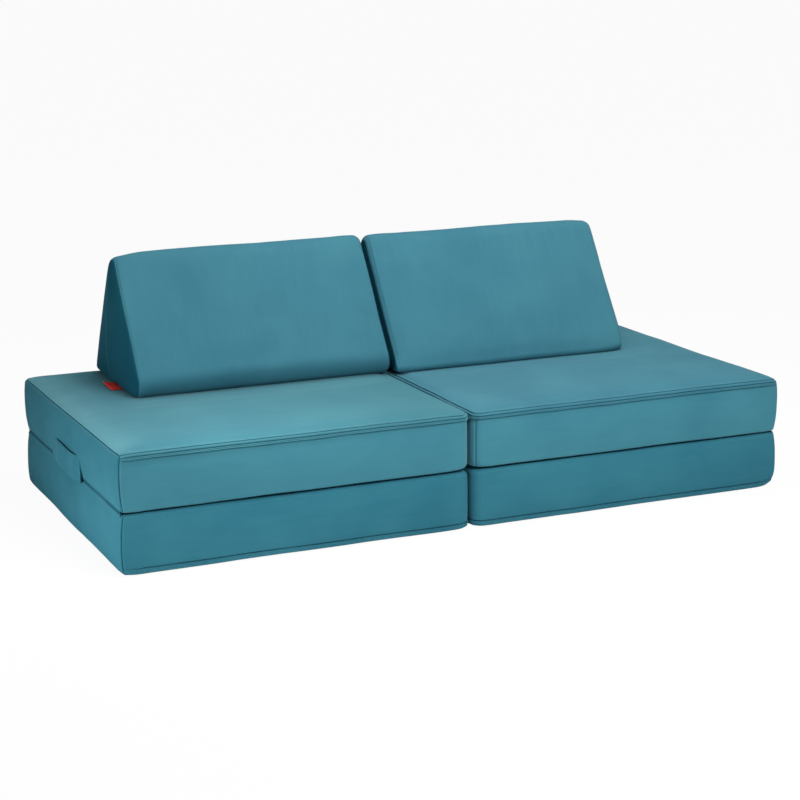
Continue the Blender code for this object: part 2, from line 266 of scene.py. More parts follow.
def add(tree, kind, inputs=None, **settings):
    """One node with its settings and inputs."""
    node = tree.nodes.new(kind)
    for key, value in settings.items():
        setattr(node, key, value)
    feed(tree, node, inputs or {})
    return node


def mottle(tree, place, size, detail=2.0, roughness=0.5, distortion=0.0):
    """Noise whose patches are about size across."""
    inputs = {"Vector": place, "Scale": 1 / size, "Detail": detail, "Roughness": roughness}
    return add(tree, "ShaderNodeTexNoise", {**inputs, "Distortion": distortion}).outputs[0]


def bands(tree, place, scale, direction, distortion):
    """Even bands. Their spacing is 0.31 / scale along X, and twice that for DIAGONAL."""
    inputs = {"Vector": place, "Scale": scale, "Distortion": distortion}
    return add(tree, "ShaderNodeTexWave", inputs, wave_type="BANDS", bands_direction=direction).outputs[1]


def weighed(tree, first, *others):
    """A sum of values, each given with its weight."""
    total = add(tree, "ShaderNodeMath", {0: first[0], 1: first[1]}, operation="MULTIPLY")
    for value, weight in others:
        inputs = {0: value, 1: weight, 2: total.outputs[0]}
        total = add(tree, "ShaderNodeMath", inputs, operation="MULTIPLY_ADD")
    return total.outputs[0]


def ranged(tree, value, from_low, from_high, low=0.0, high=1.0):
    """A value carried over from one range to another."""
    inputs = {"Value": value, "From Min": from_low, "From Max": from_high, "To Min": low, "To Max": high}
    return add(tree, "ShaderNodeMapRange", inputs).outputs[0]


def between(tree, share, low, high):
    """A colour between two others."""
    return add(tree, "ShaderNodeMix", {0: share, 6: low, 7: high}, data_type="RGBA").outputs[2]


def bumped(tree, height, strength, distance, under=None):
    """The way a surface faces, raised by a height. under is a coarser bump that it lies on."""
    inputs = {"Height": height, "Strength": strength, "Distance": distance}
    if under is not None:
        inputs["Normal"] = under
    return add(tree, "ShaderNodeBump", inputs).outputs[0]


def blank(name):
    """A new material with its node tree, its shader and the place on the piece in metres."""
    material = bpy.data.materials.new(name)
    material.use_nodes = True
    tree = material.node_tree
    shader = tree.nodes["Principled BSDF"]
    place = add(tree, "ShaderNodeTexCoord").outputs["Object"]
    return material, tree, shader, place


def microvelvet(name, deep, light, sheen, stroke):
    """Polyester microvelvet, knitted, sheared short and brushed.

    The pile leans one way, so a panel looks lighter or deeper by how it was cut. Hands leave soft
    patches where the pile lies differently, and the pile's tips glow where a face turns away.
    """
    material, tree, shader, place = blank(name)
    # hand-sized patches, 190 mm, where the pile was stroked another way
    patches = mottle(tree, place, 0.190, roughness=0.45, distortion=0.3)
    # long strokes along the pile, 26 mm wide
    turned = add(tree, "ShaderNodeMapping", {"Vector": place, "Scale": stroke}).outputs[0]
    strokes = mottle(tree, turned, 0.026, detail=4.0, roughness=0.6, distortion=0.4)
    # clumps of pile, 5 mm
    clumps = mottle(tree, place, 0.005, roughness=0.6)
    # the pile's own grain is 0.2 mm, and is drawn at 1.4 mm so that it shows
    grain = mottle(tree, place, 0.0014, roughness=0.7)
    nap = weighed(tree, (patches, 0.62), (strokes, 0.24), (clumps, 0.09), (grain, 0.05))
    lie = ranged(tree, nap, 0.36, 0.64)
    soft = bumped(tree, clumps, 0.25, 0.0008)
    feed(tree, shader, {
        "Base Color": between(tree, lie, deep, light), "Roughness": ranged(tree, lie, 0, 1, 0.90, 0.80),
        "Normal": bumped(tree, grain, 0.35, 0.0004, soft), "IOR": 1.50, "Specular IOR Level": 0.02,
        "Sheen Weight": sheen, "Sheen Roughness": 0.45, "Sheen Tint": "#C6F4F8",
    })
    return material


def sewing_thread(name, colour):
    """Twisted polyester sewing thread: a slight shine, and stitches a little paler by turns."""
    material, tree, shader, place = blank(name)
    # 6 mm from one paler stitch to the next
    turns = bands(tree, place, 100, "DIAGONAL", 1.0)
    feed(tree, shader, {"Base Color": between(tree, turns, colour, "#3F7C8B"), "Roughness": 0.55,
                        "Normal": bumped(tree, turns, 0.3, 0.0001)})
    return material


def satin_ribbon(name):
    """Woven polyester satin ribbon: cross ribs, an even red and a soft shine along the weft."""
    material, tree, shader, place = blank(name)
    # ribs 5.7 mm apart, far coarser than the real ones so that they show
    ribs = bands(tree, place, 1 / 0.018, "X", 0.3)
    slubs = mottle(tree, place, 0.006, detail=3.0)
    tone = ranged(tree, weighed(tree, (slubs, 1.0), (ribs, 0.35)), 0.35, 1.0)
    feed(tree, shader, {"Base Color": between(tree, tone, "#D41A08", "#F0381A"), "Roughness": 0.45,
                        "Normal": bumped(tree, ribs, 0.4, 0.0002), "Specular IOR Level": 0.25})
    return material


def open_cell_foam(name):
    """Cut polyurethane foam: pale cream, dull, with open cells about 1.5 mm across."""
    material, tree, shader, place = blank(name)
    # each cell's middle is painted darker: painted shade in the open cell's hollow
    cells = add(tree, "ShaderNodeTexVoronoi", {"Vector": place, "Scale": 1 / 0.0015}).outputs[0]
    tone = between(tree, mottle(tree, place, 0.08), "#D9CFAE", "#EFE8CF")
    feed(tree, shader, {"Base Color": between(tree, cells, "#A79C79", tone), "Roughness": 0.95,
                        "Normal": bumped(tree, cells, 0.6, 0.0006)})
    return material


def nylon_coil(name):
    """Dyed nylon coil zip on woven tape: a slight shine, in soft bands 15 mm apart."""
    material, tree, shader, place = blank(name)
    turns = bands(tree, place, 1 / 0.024, "DIAGONAL", 0.0)
    feed(tree, shader, {"Base Color": between(tree, turns, "#16424F", "#2E7283"), "Roughness": 0.42,
                        "Normal": bumped(tree, turns, 0.8, 0.0004)})
    return material


def painted_zinc(name):
    """Die-cast zinc slider with a baked teal paint: smooth, with paint rubbed thin in small spots."""
    material, tree, shader, place = blank(name)
    rubs = mottle(tree, place, 0.003, detail=4.0)
    worn = ranged(tree, rubs, 0.62, 0.72)
    feed(tree, shader, {"Base Color": between(tree, worn, "#1F5666", "#A9ADB0"), "Metallic": worn,
                        "Roughness": ranged(tree, rubs, 0, 1, 0.28, 0.42)})
    return material


# The right mat is the left one turned round, so the pile leans to the back on the left seat and to
# the front on the right one, which looks deeper. The band round a seat and the end panels are cut
# with the pile downwards, and the lower slabs hang the other way, deeper still. The deeper colours of
# the end panels, the lower slabs and the wedges' ends are partly that and partly painted shade, set
# to how little light those faces take. Seam grooves and stitch strips take a near-black velvet, which
# is painted shade in the creases.
# A stroke is how fast the pile's strokes change along X, Y and Z.
along = (0.3, 1.6, 1.6)
velvet_top = {
    "left": microvelvet("microvelvet_pile_backward", "#3C7584", "#44808C", 0.37, along),
    "right": microvelvet("microvelvet_pile_forward", "#3A7284", "#427D8D", 0.30, along),
}
velvet_band = microvelvet("microvelvet_pile_down", "#3C798A", "#448493", 0.30, along)
# the end panels and the lower slabs are darker partly by the pile's lie and partly as painted shade
velvet_end_painted_shade = microvelvet("microvelvet_pile_down_end_painted_shade", "#2E6D7E", "#367687", 0.10, (1.6, 0.3, 1.6))
velvet_base_painted_shade = microvelvet("microvelvet_pile_under_painted_shade", "#2F6D7F", "#387888", 0.10, along)
velvet_wedge = microvelvet("microvelvet_pile_up", "#3C7485", "#447E8D", 0.14, (1.6, 0.5, 0.3))
# the wedges' ends: pile cut across, and near-navy partly as painted shade
velvet_across_painted_shade = microvelvet("microvelvet_pile_across_painted_shade", "#154F61", "#195969", 0.04, (1.6, 1.6, 0.4))
# near-black velvet: painted shade for the seam grooves, the flap's stitch creases and the hinge groove
velvet_painted_crease_shade = microvelvet("microvelvet_painted_crease_shade", "#0A3443", "#113F50", 0.0, along)
# the thread is drawn darker than the velvet, partly as painted shade for the grooves the stitches sink into
thread = sewing_thread("polyester_sewing_thread_shade_dark", "#174757")
ribbon = satin_ribbon("satin_ribbon_woven")
foam = open_cell_foam("polyurethane_foam_cut")
coil = nylon_coil("nylon_coil_zip_dyed")
zinc = painted_zinc("zinc_slider_painted")

by_ending = {"_foam": foam, "_zip": coil, "_zip_slider": zinc}
for name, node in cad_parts.items():
    for ending, finish in by_ending.items():
        if name.endswith(ending):
            node.data.materials.clear()
            node.data.materials.append(finish)


# Skins: a closed skin is rings round a plan, with a net of four-sided faces over each end

def arch(share):
    """1 half way, 0 at both ends."""
    return 4 * share * (1 - share)


def rounded_plan(corners, radii, arc_steps, side_steps):
    """Points round a plan with round corners, their outward ways and where each side starts.

    A side starts and ends at the middle of a corner.
    """
    count = len(corners)
    along = [(corners[(k + 1) % count] - corners[k]).normalized() for k in range(count)]
    out = [Vector((way.y, -way.x)) for way in along]

    def arc(k, share):
        before, after = out[(k - 1) % count], out[k % count]
        turn = before.angle(after)
        way = before * math.sin((1 - share) * turn) + after * math.sin(share * turn)
        way = way / math.sin(turn)
        corner, radius = corners[k % count], radii[k % count]
        return corner - (before + after) * radius / (1 + before.dot(after)) + way * radius, way

    points, ways, starts = [], [], []
    for k in range(count):
        starts.append(len(points))
        stations = [arc(k, 0.5 + step / arc_steps / 2) for step in range(arc_steps)]
        near, far = arc(k, 1)[0], arc(k + 1, 0)[0]
        steps = side_steps[k]
        stations += [(near.lerp(far, step / steps), out[k]) for step in range(steps)]
        stations += [arc(k + 1, step / arc_steps / 2) for step in range(arc_steps)]
        points += [tuple(place) for place, _ in stations]
        ways += [tuple(way) for _, way in stations]
    return np.array(points), np.array(ways), starts


def round_lengths(points):
    """Each point's distance along a closed plan, and the whole way round."""
    steps = np.linalg.norm(np.roll(points, -1, 0) - points, axis=1)
    return np.concatenate([[0], np.cumsum(steps)[:-1]]), steps.sum()


def from_corner(lengths, total, start):
    """Each point's distance along the plan from the middle of one corner."""
    gap = np.abs(lengths - lengths[start])
    return np.minimum(gap, total - gap)


def net(edge_near, edge_far, edge_left, edge_right):
    """Points of a four-sided patch, spread evenly between its four edges."""
    n, m = len(edge_near) - 1, len(edge_left) - 1
    u = np.linspace(0, 1, n + 1)[:, None, None]
    v = np.linspace(0, 1, m + 1)[None, :, None]
    near, far = edge_near[:, None], edge_far[:, None]
    left, right = edge_left[None], edge_right[None]
    ends = ((1 - u) * (1 - v) * edge_near[0] + u * (1 - v) * edge_near[-1]
            + (1 - u) * v * edge_far[0] + u * v * edge_far[-1])
    return (1 - v) * near + v * far + (1 - u) * left + u * right - ends


def walls(first, rows, count):
    """Faces between rows of count points each, the first of which is number first."""
    faces = []
    for low in range(first, first + (rows - 1) * count, count):
        for i in range(count):
            j = (i + 1) % count
            faces.append((low + i, low + j, low + count + j, low + count + i))
    return faces


def cover_end(points, faces, ring, starts):
    """Closes a ring with a net: one patch over four sides, or three round the middle of three."""
    count = len(ring)
    ends = starts + [starts[0] + count]
    sides = [[ring[i % count] for i in range(ends[k], ends[k + 1] + 1)] for k in range(len(starts))]

    def patch(near, right, far, left):
        """A net between four edges, each a list of point numbers."""
        grid = np.zeros((len(near), len(left)), int)
        grid[:, 0], grid[:, -1] = near, far
        grid[0], grid[-1] = left, right
        places = net(*(np.array([points[i] for i in edge]) for edge in (near, far, left, right)))
        for i in range(1, len(near) - 1):
            for j in range(1, len(left) - 1):
                grid[i, j] = len(points)
                points.append(places[i, j])
        corners = (grid[:-1, :-1], grid[1:, :-1], grid[1:, 1:], grid[:-1, 1:])
        faces.extend(map(tuple, np.stack(corners, 2).reshape(-1, 4).tolist()))

    if len(starts) == 4:
        patch(sides[0], sides[1], sides[2][::-1], sides[3][::-1])
        return
    half = (len(sides[0]) - 1) // 2
    middles = [side[half] for side in sides]
    middle = sum(np.array(points[i]) for i in middles) / 3
    points.append(middle)
    hub = len(points) - 1
    spokes = []
    for number in middles:
        spoke = [hub]
        for step in range(1, half):
            points.append(middle + (np.array(points[number]) - middle) * step / half)
            spoke.append(len(points) - 1)
        spokes.append(spoke + [number])
    for k in range(3):
        after = (k + 1) % 3
        patch(sides[k][half:], sides[after][: half + 1], spokes[after], spokes[k][::-1])


def closed_skin(rings, starts):
    """Points and faces of a skin through rings, closed at both ends."""
    count = len(rings[0])
    points = [place for ring in rings for place in ring]
    faces = walls(0, len(rings), count)
    cover_end(points, faces, list(range(count)), starts)
    last = (len(rings) - 1) * count
    cover_end(points, faces, list(range(last, last + count)), starts)
    return np.array(points), faces


def strip_skin(sections):
    """Points and faces of a bar through equal sections, with both ends closed."""
    count = len(sections[0])
    points = np.concatenate(sections)
    faces = walls(0, len(sections), count)
    faces.append(tuple(range(count)))
    faces.append(tuple(range(len(points) - count, len(points))))
    return points, faces


def piece(name, points, faces, materials, pick=None, sharp=55):
    """A mesh piece, smooth but for its sharp folds. pick gives a face's material by its number."""
    mesh = bpy.data.meshes.new(name)
    mesh.from_pydata([tuple(place) for place in points], [], faces)
    shape = bmesh.new()
    shape.from_mesh(mesh)
    bmesh.ops.recalc_face_normals(shape, faces=shape.faces)
    shape.to_mesh(mesh)
    shape.free()
    for material in materials:
        mesh.materials.append(material)
    if pick is not None:
        mesh.polygons.foreach_set("material_index", pick)
    mesh.polygons.foreach_set("use_smooth", [True] * len(mesh.polygons))
    mesh.set_sharp_from_angle(angle=math.radians(sharp))
    made = bpy.data.objects.new(name, mesh)
    bpy.context.scene.collection.objects.link(made)
    return made


def dress(made, body, slot, *nodes):
    """A piece rides on its body and stands for its nodes, which are hidden. slot is not used."""
    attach(made, body)
    if nodes:
        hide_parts(*nodes)
    return made


def dressed(name, body, slot, skin, materials, *nodes, **settings):
    """A dressed piece from the points and faces of a skin."""
    return dress(piece(name, *skin, materials, **settings), body, slot, *nodes)


# Cloth: a copy of a skin is blown up, held along its seams

def in_order(mesh):
    """A mesh's points and faces in an order that is the same in every run."""
    places = np.zeros(len(mesh.vertices) * 3)
    mesh.vertices.foreach_get("co", places)
    places = places.reshape(-1, 3)
    order = np.lexsort(places.T)
    rank = np.argsort(order)
    polygons = []
    for polygon in mesh.polygons:
        corners = [int(rank[number]) for number in polygon.vertices]
        first = corners.index(min(corners))
        polygons.append(tuple(corners[first:] + corners[:first]))
    return places[order], sorted(polygons)


def swelling(name, points, faces, held, most):
    """How a cloth copy of a skin moves, as a function of places on it. Each move is at most most."""
    copy = piece(name, points, faces, [])
    remesh = copy.modifiers.new("even", "REMESH")
    remesh.mode = "VOXEL"
    remesh.voxel_size = cloth_mesh
    bpy.context.view_layer.objects.active = copy
    copy.select_set(True)
    bpy.ops.object.modifier_apply(modifier=remesh.name)
    rest, polygons = in_order(copy.data)
    copy.data.clear_geometry()
    copy.data.from_pydata([tuple(place) for place in rest], [], polygons)
    group = copy.vertex_groups.new(name="sewn")
    for number, weight in enumerate(held(rest)):
        if weight > 0:
            group.add([number], float(weight), "REPLACE")
    cloth = copy.modifiers.new("cloth", "CLOTH")
    for key, value in cloth_feel.items():
        setattr(cloth.settings, key, value)
    cloth.settings.vertex_group_mass = "sewn"
    cloth.settings.effector_weights.gravity = 0
    cloth.point_cache.frame_start = 1
    cloth.point_cache.frame_end = cloth_frames
    for step in range(1, cloth_frames + 1):
        bpy.context.scene.frame_set(step)
    shown = copy.evaluated_get(bpy.context.evaluated_depsgraph_get())
    blown = np.zeros(len(rest) * 3)
    shown.data.vertices.foreach_get("co", blown)
    moves = blown.reshape(-1, 3) - rest
    bpy.context.scene.frame_set(1)
    bpy.data.objects.remove(copy)
    lengths = np.maximum(np.linalg.norm(moves, axis=1, keepdims=True), 1e-9)
    moves = moves * most * np.tanh(lengths / most) / lengths
    tree = BVHTree.FromPolygons([Vector(place) for place in rest], polygons)

    def move(places):
        shift = np.zeros(np.shape(places))
        for row, place in enumerate(places):
            spot, _, number, _ = tree.find_nearest(Vector(place))
            corners = polygons[number]
            weights = poly_3d_calc([Vector(rest[corner]) for corner in corners], spot)
            for corner, weight in zip(corners, weights):
                shift[row] += weight * moves[corner]
        return shift

    return move


def ripple(places, size, height, seed):
    """Soft uneven swell of a cover, as a shift of each place. size is a wave's length."""
    shift = np.zeros(np.shape(places))
    start = Vector((seed * 7.3, seed * 3.1, seed * 5.7))
    for row, place in enumerate(places):
        shift[row] = noise.noise_vector(Vector(place) / size + start)
    return shift * height


# Slabs, drawn in their own frame: u from the hinge end, v across, drop from the outer face

plan_corners = [
    Vector((0, -mat_depth / 2)),
    Vector((mat_width, -mat_depth / 2)),
    Vector((mat_width, mat_depth / 2)),
    Vector((0, mat_depth / 2)),
]
plan_radii = (hinge_corner_radius, free_corner_radius, free_corner_radius, hinge_corner_radius)
plan, plan_out, plan_starts = rounded_plan(plan_corners, plan_radii, slab_arc_steps, slab_side_steps)
plan_length, plan_total = round_lengths(plan)
corner_gaps = [from_corner(plan_length, plan_total, start) for start in plan_starts]


def near(gap, reach):
    """1 at a place, fading to 0 over reach."""
    return np.exp(-((gap / reach) ** 2))


hinge_side = 1 / (1 + np.exp((plan[:, 0] - hinge_zone) / hinge_zone_edge))
free_corners = near(corner_gaps[1], corner_zone) + near(corner_gaps[2], corner_zone)
rim_radii = rim_radius + (rim_corner_radius - rim_radius) * free_corners
rim_radii = rim_radii + (rim_hinge_radius - rim_radii) * hinge_side
fold_radii = {}
for level, radius in fold_radius.items():
    eased = radius + (fold_corner_radius - radius) * free_corners
    fold_radii[level] = eased + (fold_hinge_radius - eased) * hinge_side


def skin_place(drop, stand):
    """Places on a slab's ideal skin at a drop from its outer face, standing off by stand."""
    drop = np.broadcast_to(drop, rim_radii.shape)
    turn = np.arccos(np.clip(1 - drop / rim_radii, 0, 1))
    inset = np.where(drop < rim_radii, rim_radii * (1 - np.sin(turn)), 0)
    lean_out, lean_up = np.sin(turn), np.cos(turn)
    spot = plan - plan_out * (inset - stand * lean_out)[:, None]
    return np.column_stack([spot, drop - stand * lean_up])


def slab_rings(level, height, corner_seam):
    """Rings of a slab's skin, from the outer face over the rim and the sides to the fold."""
    seams = [corner_gaps[0], corner_gaps[3]] + ([corner_gaps[2]] if corner_seam else [])
    sewn = sum(near(gap, upright_seam_spread) for gap in seams) * upright_seam_depth
    zipped = (1 - hinge_side) * (plan[:, 0] > zip_recess_start) * zip_recess_depth[level]
    rings = []
    for angle in rim_angles:
        drop = rim_radii * (1 - math.cos(math.radians(angle)))
        off_seam = rim_radii * math.radians(angle - seam_angle)
        groove = seam_depth[level] * near(off_seam, seam_spread)
        share = math.sin(math.radians(angle))
        recess = zipped * np.clip((drop - zip_recess_top) / zip_recess_step, 0, 1)
        rings.append(skin_place(drop, -np.maximum(np.maximum(groove, sewn * share), recess)))
    rings.append(skin_place(zip_recess_low - zip_recess_step, -np.maximum(zipped, sewn)))
    for drop in [zip_recess_low, 0.0172, 0.0190, 0.0220, *np.linspace(0.0280, height - 0.0160, 12)]:
        rings.append(skin_place(drop, -sewn))
    for angle in fold_angles:
        share = math.sin(math.radians(angle))
        inset = fold_radii[level] * (1 - share)
        drop = height - fold_radii[level] * (1 - math.cos(math.radians(angle)))
        spot = plan - plan_out * (inset + sewn * share)[:, None]
        rings.append(np.column_stack([spot, drop]))
    return rings


def slab_field(places, slab):
    """How the ideal skin gives way: its edges draw in, its faces belly out, its corners ease."""
    height, seed = slab["height"], slab["seed"]
    u, v, drop = places[:, 0], places[:, 1], places[:, 2]
    shift = np.zeros(places.shape)
    rise = np.clip(drop / height, 0, 1)
    half = mat_depth / 2
    for gap, share, axis, way, drawn, belly in (
        (half + v, u / mat_width, 1, 1, side_draw, side_belly),
        (half - v, u / mat_width, 1, -1, side_draw, side_belly),
        (mat_width - u, (v + half) / mat_depth, 0, -1, free_end_draw, free_end_belly),
    ):
        close = near(np.maximum(gap, 0), side_reach)
        from_ends = 1 - near(np.minimum(share, 1 - share) * mat_width, end_reach)
        draw = drawn * arch(np.clip(share, 0, 1)) - belly * arch(rise) * from_ends
        shift[:, axis] += way * draw * close
    at_hinge = near(np.maximum(u, 0), end_reach)
    shift[:, 0] += at_hinge * (hinge_pinch * rise**3 - hinge_belly * arch(rise))
    for u0, v0, kind in ((0, -half, "hinge"), (mat_width, -half, "free"), (mat_width, half, "free"),
                         (0, half, "hinge")):
        for drop0 in (0, height):
            to_middle = np.array([0.42 - u0, -v0, height / 2 - drop0])
            to_middle = np.sign(to_middle) / math.sqrt(3)
            gap = np.linalg.norm(places - np.array([u0, v0, drop0]), axis=1)
            ease = corner_ease[kind] * (1.0 if drop0 == 0 else fold_corner_share)
            if kind == "hinge" and drop0 == 0 and v0 > 0:
                ease = slab["front_right_ease"]
            shift += to_middle * (ease * near(gap, corner_ease_reach))[:, None]
    edge = np.minimum.reduce([u, mat_width - u, half + v, half - v])
    opening = fold_opening * (1 - 0.6 * at_hinge) * near(np.maximum(edge, 0), fold_opening_reach)
    shift[:, 2] -= opening * near(height - drop, fold_opening_depth)
    inside = edge - rim_radius
    run = np.clip(inside / crown_run, 0, 1)
    shift[:, 2] -= slab["crown"] * (1 - (1 - run) ** 2) * near(np.maximum(drop, 0), crown_depth)
    shift += sum(ripple(places, length, high, seed + more) for length, high, more in slab_ripples)
    shift += slab["swell"](places)
    return shift


def slab_world(places, slab):
    """Places of a slab's own frame, given way and set in the world."""
    moved = places + slab_field(places, slab)
    moved[:, 0] = np.minimum(moved[:, 0], mat_width + centre_gap / 2 - 0.0003)
    turn = slab["turn"]
    x = turn * (moved[:, 0] - outer_end)
    y = turn * moved[:, 1]
    z = slab["rim"] - slab["way"] * moved[:, 2]
    low, high = slab["between"]
    if slab["way"] > 0:
        # pressed flat under the wedge, and free to crown away from it
        from_wedge = np.hypot(np.maximum(wedge_front_y - 0.004 - y, 0), np.maximum(np.abs(x) - 0.70, 0))
        z = np.minimum(z, seat_top + seat_crown_most * np.clip(from_wedge / 0.090, 0, 1) ** 2)
    return np.column_stack([x, y, np.clip(z, low, high)])


def slab_held(height):
    """Where a slab's cloth is held: along its seams and over the face that it folds on."""
    half = mat_depth / 2

    def held(places):
        u, v, drop = places[:, 0], places[:, 1], places[:, 2]
        sides = np.sort(np.array([u, mat_width - u, half + v, half - v]), axis=0)
        on_side, next_side = sides[0], sides[1]
        rim = np.hypot(np.minimum(on_side, 0.5), drop)
        fold = np.hypot(on_side, height - drop)
        upright = np.hypot(on_side, next_side)
        seam = np.minimum(np.minimum(rim, fold), upright)
        weight = np.clip(1.6 - seam / cloth_seam_run, 0, 1)
        return np.where(drop > height - 0.008, 1.0, weight)

    return held


plan_range = [number for number in range(plan_starts[0], plan_starts[3]) if plan[number, 0] > flap_hinge_end]
zip_range = [number for number in plan_range if plan[number, 0] > zip_start]
flap_tops = rim_radii * (1 - math.cos(math.radians(seam_angle + flap_seam_turn)))
flap_full = np.clip((plan[:, 0] - flap_hinge_end) / flap_taper, 0, 1)
flap_full = flap_end_share + (1 - flap_end_share) * flap_full


def flap_sections(level):
    """Sections of a slab's zip flap, from the rim seam to its free edge, round three sides."""
    outer, inner = [], []
    for share in flap_shares:
        drop = flap_tops + (flap_low - flap_tops) * share
        held = min(abs(share - topstitch_share), abs(share - edge_stitch_share), share) / flap_puff_run
        puff = flap_puff[level] * min(1.0, held)
        wave = flap_wave * np.sin(plan_length / flap_wave_length) * share**3 + flap_lift[level] * share**4
        thick = flap_thickness[level] * min(1, 0.15 + share * 6) + puff + wave
        outer.append(skin_place(drop, flap_stand + thick * flap_full))
        inner.append(skin_place(drop, flap_stand * (1 if share else -2) + wave * 0.9 * flap_full))
    return np.stack(outer + inner[::-1], 1)[plan_range]


def zip_sections(level):
    """Sections of a slab's zip coil on its tape, in the recess under the flap."""
    depth = zip_recess_depth[level]
    outer = [skin_place(drop, rise - depth) for drop, rise in zip_profile]
    inner = [skin_place(drop, -zip_backing - depth) for drop, _ in zip_profile]
    return np.stack(outer + inner[::-1], 1)[zip_range]


def flap_line(level, share):
    """The line of a row of stitches along a slab's flap, and the same line 1 mm further out."""
    drop = flap_tops + (flap_low - flap_tops) * share
    stand = flap_stand + (flap_thickness[level] + flap_lift[level] * share**4) * flap_full
    return skin_place(drop, stand)[plan_range], skin_place(drop, stand + 0.001)[plan_range]


def unit_rows(rows):
    """Rows of numbers, each scaled to a length of 1."""
    return rows / np.maximum(np.linalg.norm(rows, axis=1, keepdims=True), 1e-9)


def stitches(line, outer):
    """Points and faces of a row of stitches laid along a line; outer is the line 1 mm further out."""
    steps = np.linalg.norm(np.diff(line, axis=0), axis=1)
    along = np.concatenate([[0], np.cumsum(steps)])
    count = int(along[-1] / stitch_pitch)
    middles = (np.arange(count) + 0.5) * stitch_pitch

    def at(distance, rows):
        return np.column_stack([np.interp(distance, along, rows[:, axis]) for axis in range(3)])

    points, faces = [], []
    middle, above = at(middles, line), at(middles, outer)
    way = unit_rows(at(middles + stitch_length / 2, line) - middle)
    up = unit_rows(above - middle)
    across = np.cross(up, way)
    for number in range(count):
        first = len(points)
        for share, rise in ((-0.5, -0.7), (0.0, 0.75), (0.5, -0.7)):
            spot = middle[number] + way[number] * share * stitch_length
            spot = spot + up[number] * rise * stitch_radius
            width = stitch_radius * (1.0 if share == 0 else 0.7)
            points += [spot + across[number] * width, spot + up[number] * width,
                       spot - across[number] * width, spot - up[number] * width]
        faces += walls(first, 3, 4)
        faces.append(tuple(first + i for i in range(4)))
        faces.append(tuple(first + 8 + i for i in range(4)))
    return np.array(points), faces


def joined(parts):
    """Several sets of points and faces as one."""
    points, faces, first = [], [], 0
    for places, rows in parts:
        points.append(places)
        faces += [tuple(first + number for number in row) for row in rows]
        first += len(places)
    return np.concatenate(points), faces


def make_slab(unit, level, slab):
    """One slab: its cover, its zip flap, its zip and its rows of stitches."""
    body = f"{unit}_{level}"
    # on a seat, seam is the near-black velvet: painted shade in the flap's creases
    outer_face, band, seam = velvet_base_painted_shade, velvet_base_painted_shade, velvet_base_painted_shade
    if level == "seat":
        outer_face, band, seam = velvet_top[unit], velvet_band, velvet_painted_crease_shade
    rings = slab_rings(level, slab["height"], level == "seat")
    points, faces = closed_skin(rings, plan_starts)
    # below the rim seam the band takes the band velvet, and the hinge end the end velvet with its painted
    # shade
    pick = np.zeros((len(rings) - 1, len(plan)), int)
    pick[rim_angles.index(seam_angle) :] = 1
    pick[rim_angles.index(seam_angle) :, plan_starts[3] :] = 2
    pick = np.concatenate([pick.ravel(), np.zeros(len(faces) - pick.size, int)])
    skin = slab_world(points, slab), faces
    cover = dressed(f"{body}_velvet_cover", body, "microvelvet", skin, [outer_face, band, velvet_end_painted_shade],
                  f"{body}_cover", pick=pick)

    points, faces = strip_skin(list(flap_sections(level)))
    middles = (flap_shares[:-1] + flap_shares[1:]) / 2
    # strips at the flap's seam and along its topstitch take the near-black velvet: painted shade in the
    # creases
    crease_shade_faces = [int(abs(share - topstitch_share) < 0.05 or share < 0.03) for share in middles]
    crease_shade_faces += [0] * (2 * len(flap_shares) - len(crease_shade_faces))
    pick = crease_shade_faces * (len(plan_range) - 1) + [0, 0]
    skin = slab_world(points, slab), faces
    dressed(f"{body}_velvet_zip_flap", body, "microvelvet", skin, [outer_face, seam], f"{body}_zip_flap",
          pick=pick)

    points, faces = strip_skin(list(zip_sections(level)))
    dressed(f"{body}_nylon_coil_zip", body, "zip", (slab_world(points, slab), faces), [coil], f"{body}_zip")

    lines = [flap_line(level, share) for share in (topstitch_share, edge_stitch_share)]
    if level == "seat":
        end = slice(plan_starts[3] + slab_arc_steps, len(plan) - slab_arc_steps)
        drop = rim_radii * (1 - math.cos(math.radians(end_stitch_angle)))
        lines.append((skin_place(drop, 0.0)[end], skin_place(drop, 0.001)[end]))
    rows = [stitches(slab_world(low, slab), slab_world(high, slab)) for low, high in lines]
    dressed(f"{body}_stitches", body, "microvelvet", joined(rows), [thread], sharp=180)


# Wedges, drawn in their own frame: x along, a back from the front edge, b up

section_corners = [Vector((0, 0)), Vector((wedge_base, 0)), Vector((wedge_apex_back, wedge_height))]
section_middle = (section_corners[0] + section_corners[1] + section_corners[2]) / 3
sections = {}
for unit, radii in wedge_radii.items():
    corners = [Vector(wedge_front_corner[unit]), *section_corners[1:]]
    sections[unit] = rounded_plan(corners, radii, wedge_arc_steps, [wedge_side_steps] * 3)
section_starts = sections["left"][2]


def wedge_face(k, places):
    """How far places lie inside face k of a wedge, and their share along it."""
    near_corner, far_corner = section_corners[k], section_corners[(k + 1) % 3]
    way = (far_corner - near_corner).normalized()
    out = Vector((way.y, -way.x))
    from_corner_a = places[:, 1] - near_corner.x
    from_corner_b = places[:, 2] - near_corner.y
    depth = -(from_corner_a * out.x + from_corner_b * out.y)
    share = (from_corner_a * way.x + from_corner_b * way.y) / (far_corner - near_corner).length
    return depth, np.clip(share, 0, 1), out


